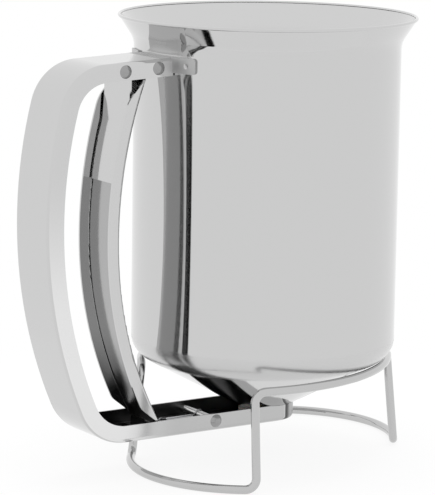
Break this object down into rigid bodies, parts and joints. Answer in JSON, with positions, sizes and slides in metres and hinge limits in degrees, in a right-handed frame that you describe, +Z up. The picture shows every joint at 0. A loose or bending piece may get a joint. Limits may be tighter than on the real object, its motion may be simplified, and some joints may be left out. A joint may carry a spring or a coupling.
{
  "type": "pancake batter dispenser",
  "caption": "Stainless steel batter cup with a cone bottom, a channel handle with a squeeze trigger that draws back an outlet slide, and a bent-wire stand it lifts off.",
  "frame": {"origin": "on the table, under the middle of the whole object's bounding box", "axes": "+Z up along the cup, +X from the handle towards the cup, +Y across the handle"},
  "size_m": [0.1632, 0.112, 0.1679],
  "materials": {
    "cup_steel": "polished stainless steel sheet with fine circumferential grain",
    "handle_steel": "stainless steel sheet with fine grain along the handle",
    "trigger_steel": "stainless steel sheet with fine grain along the trigger",
    "slide_steel": "plain stainless steel sheet",
    "rivet_steel": "bright stainless steel, domed heads",
    "sleeve_steel": "turned stainless steel tube",
    "spring_steel": "bright stainless spring wire",
    "wire_steel": "polished stainless steel wire",
    "seal_silicone": "pale food-grade silicone"
  },
  "bodies": {
    "stand": {"wire_stand": "wire_steel"},
    "dispenser": {"cup_body": "cup_steel", "outlet_collar": "cup_steel", "outlet_seal": "seal_silicone", "handle_frame": "handle_steel", "pivot_rivet": "rivet_steel", "pivot_sleeve": "sleeve_steel", "pivot_spacers": "sleeve_steel", "brace_rivet": "rivet_steel", "brace_sleeve": "sleeve_steel", "guide_rivet": "rivet_steel", "guide_sleeve": "sleeve_steel", "return_spring": "spring_steel"},
    "trigger": {"trigger_bow": "trigger_steel", "hinge_bracket": "trigger_steel"},
    "outlet_slide": {"valve_slide": "slide_steel"}
  },
  "joints": [
    {"name": "lift_off", "type": "slide", "parent": "stand", "child": "dispenser", "axis": [0, 0, 1], "range_m": [0, 0.12]},
    {"name": "trigger_pivot", "type": "hinge", "parent": "dispenser", "child": "trigger", "pos_m": [-0.05012, 0, 0.15098], "axis": [0, 1, 0], "range_deg": [0, 5.67], "stiffness_Nm_per_rad": 1, "springref_deg": -17.19},
    {"name": "slide_travel", "type": "slide", "parent": "dispenser", "child": "outlet_slide", "axis": [-1, 0, 0], "range_m": [0, 0.0132], "deforming": ["return_spring"]}
  ],
  "couplings": [
    {"joint": "slide_travel", "follows": "trigger_pivot", "m_per_rad": 0.13337}
  ]
}
